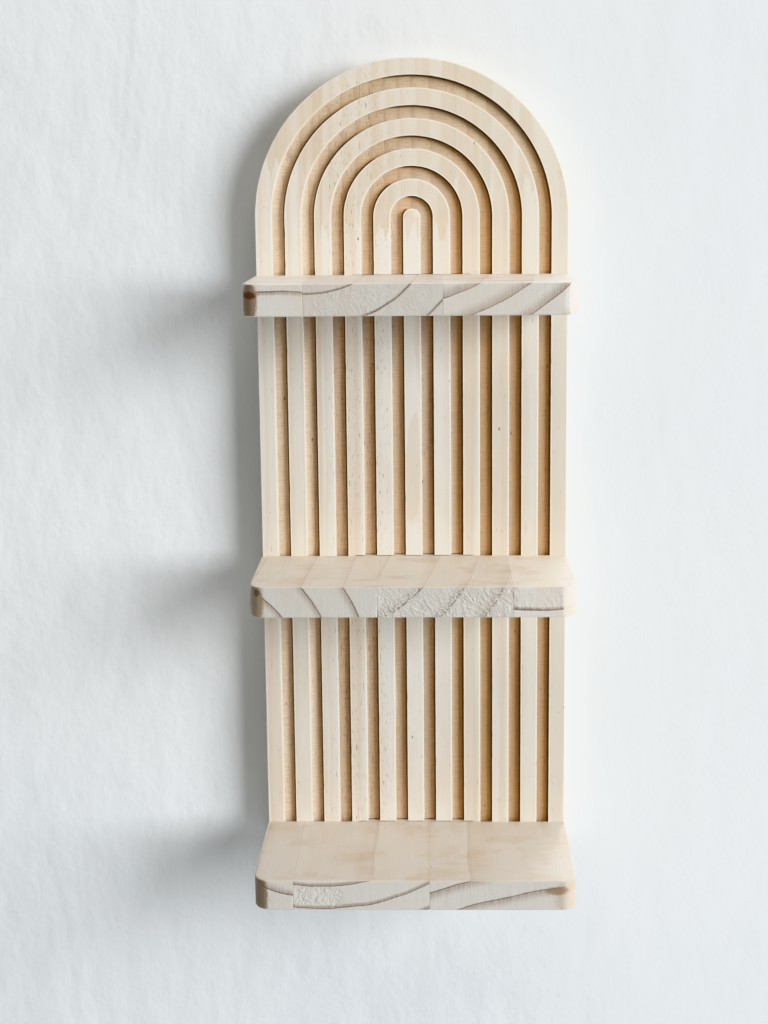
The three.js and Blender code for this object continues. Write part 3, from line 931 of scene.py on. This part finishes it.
def shelf_pine(name):
    g = Pine(name + "_pine")
    low, high = SHELF_BOXES[name]
    x = g.sub(g.x, low.x / MM)
    z = g.sub(g.z, low.z / MM)
    back = g.sub(g.y, low.y / MM)
    shift = g.vector("ADD", g.mm, (37.0 * SHELF_NAMES.index(name), 0.0, 0.0))
    warp = g.noise(g.scaled(shift, 0.05, 0.012, 0.05), detail=1.0)
    warp = g.mul(g.sub(warp, 0.5), 2.2)
    ripple = g.noise(g.scaled(shift, 0.9, 0.05, 0.9), detail=2.0)
    ripple = g.mul(g.sub(ripple, 0.5), 0.7)

    # end grain shows on the flat front and back, not on the rounded corners and the eased edges
    ragged = g.noise(g.scaled(shift, 0.8, 0.8, 0.8), detail=2.0)
    wobble = g.mul(g.sub(ragged, 0.5), 3.0)
    left_margin, right_margin = END_GRAIN_MARGINS[name]
    from_left = g.sub(g.add(x, wobble), left_margin)
    length = (high.x - low.x) / MM
    from_right = g.sub(length - right_margin, g.add(x, wobble))
    flat = g.step(g.math("MINIMUM", from_left, from_right), -0.4, 0.4)
    to_rim = g.math("MINIMUM", z, g.sub((high.z - low.z) / MM, z))
    flat = g.mul(flat, g.step(to_rim, 0.2, 0.5))
    front = g.mul(flat, g.step(g.facing[1], -0.3, -0.5))
    end = g.math("MAXIMUM", front, g.step(g.facing[1], 0.90, 0.97))

    late = line = tone = seam = 0.0
    for stave in SHELF_STAVES[name]:
        leaning = g.mul(back, stave["lean"])
        dx = g.sub(g.sub(x, leaning), stave["pith"][0])
        dz = g.sub(z, stave["pith"][1])
        radius = g.add(g.distance(dx, dz), g.add(warp, ripple))
        own_late, own_line = g.rings(radius, stave["ring"], stave["period"], stave["band"])
        if stave["start"] == 0:
            late, line, tone = own_late, own_line, stave["tone"]
            continue
        here = g.step(x, stave["start"] - 0.1, stave["start"] + 0.1, smooth=False)
        late = g.mix(here, late, own_late)
        line = g.mix(here, line, own_line)
        tone = g.mix(here, tone, stave["tone"])
        gap = g.math("ABSOLUTE", g.sub(x, stave["start"]))
        seam = g.math("MAXIMUM", seam, g.step(gap, 0.05, 0.4, 1.0, 0.0))

    # deeply torn end grain breaks the rings up
    shreds = g.noise(g.scaled(shift, 0.5, 0.3, 0.75), detail=3.0, roughness=0.7)
    torn = 0.0
    for torn_left, torn_right, lower, upper, deep, _ in TORN_PATCHES[name]:
        if deep < DEEPLY_TORN:
            continue
        within = g.step(x, torn_left, torn_left + TORN_EDGE / 2)
        for value, limit in ((x, torn_right), (z, upper)):
            fading = g.step(value, limit - TORN_EDGE / 2, limit, 1.0, 0.0)
            within = g.mul(within, fading)
        within = g.mul(within, g.step(z, lower, lower + TORN_EDGE / 2))
        torn = g.math("MAXIMUM", torn, within)
    torn = g.mul(torn, end)
    broken = g.mul(torn, g.step(shreds, 0.44, 0.56, 1.0, 0.0))
    whole = g.sub(1.0, broken)
    late = g.mul(late, whole)
    line = g.mul(line, whole)

    # long grain: tops, undersides and ends
    fibre = g.noise(g.scaled(shift, 2.4, 0.035, 2.4), detail=3.0, roughness=0.6)
    cloud = g.noise(g.scaled(shift, 0.045, 0.02, 0.045), detail=3.0)
    most, warmer = (srgb(*shade) for shade in LONG_GRAIN[name])
    long = g.blend(g.step(cloud, 0.42, 0.66, 0.0, 0.5), most, warmer)
    long = g.blend(g.step(fibre, 0.4, 0.8, 0.0, 0.25), long, srgb(214, 198, 174))
    smudge = g.noise(g.scaled(shift, 0.035, 0.07, 0.035), detail=4.0, roughness=0.6)
    long = g.blend(g.step(smudge, 0.50, 0.70, 0.0, 0.4), long, srgb(212, 194, 170))
    banding = g.mul(late, g.step(smudge, 0.4, 0.6, 0.10, 0.30))
    long = g.blend(banding, long, srgb(204, 178, 144))
    long = g.blend(g.mul(line, 0.09), long, srgb(176, 142, 108))
    cells = g.scaled(shift, 0.07, 0.05, 0.07)
    dots = g.node("ShaderNodeTexVoronoi", {"Vector": cells, "Scale": 1.0})
    spot = g.step(dots.outputs["Distance"], 0.025, 0.05, 1.0, 0.0)
    long = g.blend(g.mul(spot, 0.5), long, srgb(150, 112, 84))

    # end grain: cool grey white with soft late wood and sharp ring edges
    speck = g.noise(g.scaled(shift, 2.2, 0.5, 2.2), detail=4.0, roughness=0.7)
    saw = g.noise(g.scaled(shift, 1.6, 0.1, 0.05), detail=2.0)
    grey = g.blend(g.step(speck, 0.35, 0.75, 0.0, 0.55), srgb(222, 220, 214), srgb(192, 186, 179))
    grey = g.blend(g.step(saw, 0.45, 0.75, 0.0, 0.20), grey, srgb(190, 178, 166))
    banding = g.mul(late, g.step(saw, 0.3, 0.7, 0.50, 0.95))
    grey = g.blend(banding, grey, srgb(166, 148, 134))
    drawn = g.mul(line, g.step(speck, 0.3, 0.6, 0.45, 0.85))
    grey = g.blend(drawn, grey, srgb(112, 92, 80))
    warm = g.step(cloud, 0.44, 0.60, 0.0, END_GRAIN_WARMTH[name])
    grey = g.blend(warm, grey, srgb(214, 196, 180))
    fleck = g.noise(g.scaled(shift, 1.1, 0.4, 1.1), detail=2.0)
    grey = g.blend(g.step(fleck, 0.66, 0.75, 0.0, 0.6), grey, srgb(136, 114, 102))

    colour = g.blend(end, long, grey)
    upright = g.step(g.math("ABSOLUTE", g.facing[2]), 0.6, 0.3)
    near_front = g.mul(upright, g.step(back, 8.0, 28.0, 1.0, 0.0))
    # the entries as tall as the shelf paint shade on its rounded corners; the others are brown
    # patches
    for patch_x, patch_z, half_x, half_z, strength, shade in SHELF_STAINS_AND_SHADE[name]:
        dx = g.math("DIVIDE", g.sub(x, patch_x), half_x)
        dz = g.math("DIVIDE", g.sub(z, patch_z), half_z)
        uneven = g.mul(g.sub(ragged, 0.5), 0.6)
        reach = g.add(g.distance(dx, dz), uneven)
        full_height = half_z > (high.z - low.z) / MM / 2
        solid = 0.75 if full_height else 0.5
        stain_or_shade = g.mul(g.step(reach, solid, 1.05, strength, 0.0), near_front)
        colour = g.blend(stain_or_shade, colour, srgb(*shade))
    glue_line = g.mul(seam, g.step(end, 0.0, 1.0, 0.10, 0.24))
    colour = g.blend(glue_line, colour, srgb(170, 146, 122))
    colour = g.node("ShaderNodeHueSaturation", {"Value": tone, "Color": colour}).outputs[0]

    lengthways = g.mul(fibre, g.sub(1.0, end))
    crosswise = g.mul(g.add(speck, g.mul(saw, 0.6)), end)
    bump = g.add(lengthways, g.mul(crosswise, 1.6))
    bump = g.sub(bump, g.add(g.mul(line, 0.8), seam))
    rough = g.step(end, 0.0, 1.0, 0.55, 0.80, smooth=False)
    rough = g.add(rough, g.mul(g.sub(fibre, 0.5), 0.2))
    return g.surface(colour, rough, bump, 0.08 * MM)


def zinc_steel():
    g = Graph("zinc_steel")
    position = g.node("ShaderNodeTexCoord").outputs["Object"]
    mm = g.scaled(position, 1000.0, 1000.0, 1000.0)
    brushed = g.noise(g.scaled(mm, 9.0, 9.0, 0.5), detail=3.0)
    spangle = g.node("ShaderNodeTexVoronoi", {"Vector": mm, "Scale": 0.5}).outputs["Color"]
    tarnish = g.noise(g.scaled(mm, 0.22, 0.22, 0.22), detail=4.0)
    colour = g.blend(g.step(tarnish, 0.4, 0.7, 0.0, 0.6), srgb(214, 214, 212), srgb(188, 184, 172))
    colour = g.blend(0.12, colour, spangle, "OVERLAY")
    rough = g.add(g.step(brushed, 0.2, 0.8, 0.24, 0.42), g.step(tarnish, 0.4, 0.8, 0.0, 0.14))
    return g.surface(colour, rough, brushed, 0.01 * MM, Metallic=1.0)


# ---------------------------------------------------------------- stage, lights and camera

WALL_GAP = 0.6 * MM
WALL_HALF_WIDTH = 4.0
WALL_TOP = 3.0
FLOOR_Z = -0.9
FLOOR_FADE = (1.3, 3.4)  # metres from the origin over which the floor fades out


def stage_plane(name, corners, material):
    plane = object_from_faces(name, corners, [(0, 1, 2, 3)])
    plane.data.materials.append(material)


def plaster(name, one_sided):
    g = Graph(name)
    position = g.node("ShaderNodeTexCoord").outputs["Object"]
    coarse = g.noise(g.scaled(position, 28.0, 28.0, 18.0), detail=5.0, roughness=0.55)
    trowel = g.noise(g.scaled(position, 9.0, 9.0, 3.5), detail=3.0, distortion=1.2)
    patches = g.noise(position, scale=2.2, detail=3.0)
    colour = g.blend(g.step(patches, 0.35, 0.65), srgb(243, 247, 250), srgb(237, 242, 246))
    height = g.add(coarse, g.mul(trowel, 0.8))
    material = g.surface(colour, 0.9, height, 2.2 * MM, 0.8)
    if one_sided:
        # the wall's back isn't drawn, so the object can be seen and lit from behind
        behind = g.node("ShaderNodeNewGeometry").outputs["Backfacing"]
        shadow = g.node("ShaderNodeLightPath").outputs["Is Shadow Ray"]
        open_side = g.math("MAXIMUM", behind, shadow)
    else:
        # far from the object the floor fades into the pale sweep
        reach = g.node("ShaderNodeVectorMath", {0: position}, operation="LENGTH").outputs["Value"]
        open_side = g.step(reach, *FLOOR_FADE)
    shown = g.output.inputs[0].links[0].from_socket
    clear = g.node("ShaderNodeBsdfTransparent").outputs[0]
    mixed = g.node("ShaderNodeMixShader", {0: open_side, 1: shown, 2: clear}).outputs[0]
    g.tree.links.new(mixed, g.output.inputs[0])
    return material


def build_stage():
    y = BACK_Y + WALL_GAP
    wide = WALL_HALF_WIDTH
    wall = [(-wide, y, FLOOR_Z), (wide, y, FLOOR_Z), (wide, y, WALL_TOP), (-wide, y, WALL_TOP)]
    stage_plane("pale_wall", wall, plaster("wall", one_sided=True))
    floor = [(-wide, -wide, FLOOR_Z), (wide, -wide, FLOOR_Z), (wide, wide, FLOOR_Z),
             (-wide, wide, FLOOR_Z)]
    stage_plane("pale_floor", floor, plaster("floor", one_sided=False))


AIM = Vector((0.0, 0.0, 0.27))
FILL_COLOUR, FILL_STRENGTH = (1.0, 0.86, 0.68, 1.0), 0.075
SWEEP_COLOUR, SWEEP_STRENGTH = (0.95, 0.98, 1.0, 1.0), 0.75


def area_light(name, place, size, power, colour, spread=180):
    data = bpy.data.lights.new(name, "AREA")
    data.shape = "RECTANGLE"
    data.size, data.size_y = size
    data.energy = power
    data.color = colour
    data.spread = math.radians(spread)
    light = bpy.data.objects.new(name, data)
    light.location = place
    light.rotation_euler = (AIM - Vector(place)).to_track_quat("-Z", "Y").to_euler()
    bpy.context.scene.collection.objects.link(light)


def build_world():
    """A weak warm fill light; the camera sees a pale sweep instead of it."""
    world = bpy.data.worlds.new("studio")
    bpy.context.scene.world = world
    world.use_nodes = True
    tree = world.node_tree
    fill = tree.nodes["Background"]
    fill.inputs[0].default_value = FILL_COLOUR
    fill.inputs[1].default_value = FILL_STRENGTH
    sweep = tree.nodes.new("ShaderNodeBackground")
    sweep.inputs[0].default_value = SWEEP_COLOUR
    sweep.inputs[1].default_value = SWEEP_STRENGTH
    seen = tree.nodes.new("ShaderNodeLightPath").outputs["Is Camera Ray"]
    mixed = tree.nodes.new("ShaderNodeMixShader")
    tree.links.new(seen, mixed.inputs[0])
    tree.links.new(fill.outputs[0], mixed.inputs[1])
    tree.links.new(sweep.outputs[0], mixed.inputs[2])
    tree.links.new(mixed.outputs[0], tree.nodes["World Output"].inputs[0])


def build_lights():
    area_light("window", (3.48, -2.35, 1.25), size=(2.5, 2.2), power=101,
               colour=(0.985, 0.995, 1.0), spread=120)
    area_light("ceiling", (0.0, -1.1, 2.1), size=(1.8, 1.2), power=6.6,
               colour=(1.0, 0.95, 0.87), spread=120)
    area_light("behind", (0.5, 1.6, 0.9), size=(0.9, 0.9), power=17, colour=(1.0, 1.0, 1.0))
    build_world()


CAMERA_LENS = 49.05
CAMERA_SENSOR = 36
CAMERA_SHIFT = (-0.0191, -0.1396)
CAMERA_PLACE = (12.5 * MM, LAND_Y - 892 * MM, 453.6 * MM)
CAMERA_TURN = (82.02, 0.497, 1.111)


def build_camera():
    data = bpy.data.cameras.new("camera")
    data.lens = CAMERA_LENS
    data.sensor_width = CAMERA_SENSOR
    data.shift_x, data.shift_y = CAMERA_SHIFT
    data.clip_start = 0.01
    camera = bpy.data.objects.new("camera", data)
    camera.location = CAMERA_PLACE
    camera.rotation_euler = [math.radians(degrees) for degrees in CAMERA_TURN]
    bpy.context.scene.collection.objects.link(camera)
    bpy.context.scene.camera = camera


# ---------------------------------------------------------------- build everything

build_camera()
build_stage()
build_lights()
bpy.context.scene.view_settings.view_transform = "Khronos PBR Neutral"

ZINC = zinc_steel()
build_panel()
for shelf_name in SHELF_NAMES:
    build_shelf(shelf_name)
for screw_node, screw_kind in screw_nodes():
    build_screw(screw_node, screw_kind)
for plate_side in ("left", "right"):
    build_plate(plate_side)
